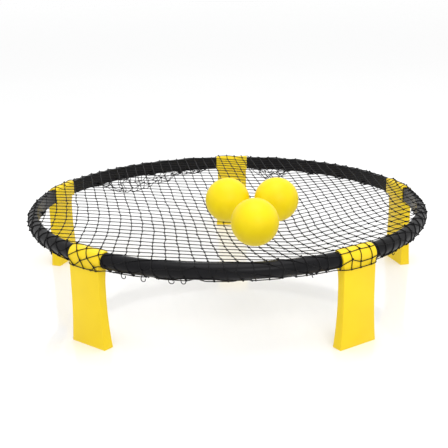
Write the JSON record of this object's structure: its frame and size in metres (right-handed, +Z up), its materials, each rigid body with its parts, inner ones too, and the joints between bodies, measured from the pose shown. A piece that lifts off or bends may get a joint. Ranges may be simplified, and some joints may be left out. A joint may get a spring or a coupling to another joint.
{
  "type": "roundnet set",
  "caption": "Round rim on folding legs with a knotted net stretched over it, and loose hollow rubber balls, for roundnet.",
  "frame": {"origin": "on the floor under the middle of the set's box", "axes": "+Z up, leg 1 stands on +Y, the others follow every 72 degrees"},
  "size_m": [0.9118, 0.914, 0.2876],
  "materials": {
    "leg_plastic": "smooth satin yellow moulding",
    "rim_plastic": "satin black moulding",
    "spindle_plastic": "black moulding, unseen in use",
    "net_cord": "black knotted polyester cord",
    "ball_rubber": "smooth matt yellow rubber",
    "valve_rubber": "soft yellow rubber plug"
  },
  "bodies": {
    "rim": {"rim_tube_1": "rim_plastic", "rim_tube_2": "rim_plastic", "rim_tube_3": "rim_plastic", "rim_tube_4": "rim_plastic", "rim_tube_5": "rim_plastic", "spindle_1": "spindle_plastic", "spindle_2": "spindle_plastic", "spindle_3": "spindle_plastic", "spindle_4": "spindle_plastic", "spindle_5": "spindle_plastic", "net": "net_cord"},
    "folding_leg_1": {"leg_1": "leg_plastic"},
    "folding_leg_2": {"leg_2": "leg_plastic"},
    "folding_leg_3": {"leg_3": "leg_plastic"},
    "folding_leg_4": {"leg_4": "leg_plastic"},
    "folding_leg_5": {"leg_5": "leg_plastic"},
    "loose_ball_1": {"ball_1": "ball_rubber", "ball_valve_1": "valve_rubber"},
    "loose_ball_2": {"ball_2": "ball_rubber", "ball_valve_2": "valve_rubber"},
    "loose_ball_3": {"ball_3": "ball_rubber", "ball_valve_3": "valve_rubber"}
  },
  "joints": [
    {"name": "leg_fold_1", "type": "hinge", "parent": "rim", "child": "folding_leg_1", "pos_m": [0, 0.4374, 0.183], "axis": [-1, 0, 0], "range_deg": [0, 87]},
    {"name": "leg_fold_2", "type": "hinge", "parent": "rim", "child": "folding_leg_2", "pos_m": [-0.41694, 0.13447, 0.183], "axis": [-0.309, -0.9511, 0], "range_deg": [0, 87]},
    {"name": "leg_fold_3", "type": "hinge", "parent": "rim", "child": "folding_leg_3", "pos_m": [-0.25768, -0.35567, 0.183], "axis": [0.809, -0.5878, 0], "range_deg": [0, 87]},
    {"name": "leg_fold_4", "type": "hinge", "parent": "rim", "child": "folding_leg_4", "pos_m": [0.25768, -0.35567, 0.183], "axis": [0.809, 0.5878, 0], "range_deg": [0, 87]},
    {"name": "leg_fold_5", "type": "hinge", "parent": "rim", "child": "folding_leg_5", "pos_m": [0.41694, 0.13447, 0.183], "axis": [-0.309, 0.9511, 0], "range_deg": [0, 87]},
    {"name": "ball_lift_1", "type": "slide", "parent": "rim", "child": "loose_ball_1", "axis": [0, 0, 1], "range_m": [0, 0.3]},
    {"name": "ball_lift_2", "type": "slide", "parent": "rim", "child": "loose_ball_2", "axis": [0, 0, 1], "range_m": [0, 0.3]},
    {"name": "ball_lift_3", "type": "slide", "parent": "rim", "child": "loose_ball_3", "axis": [0, 0, 1], "range_m": [0, 0.3]}
  ]
}
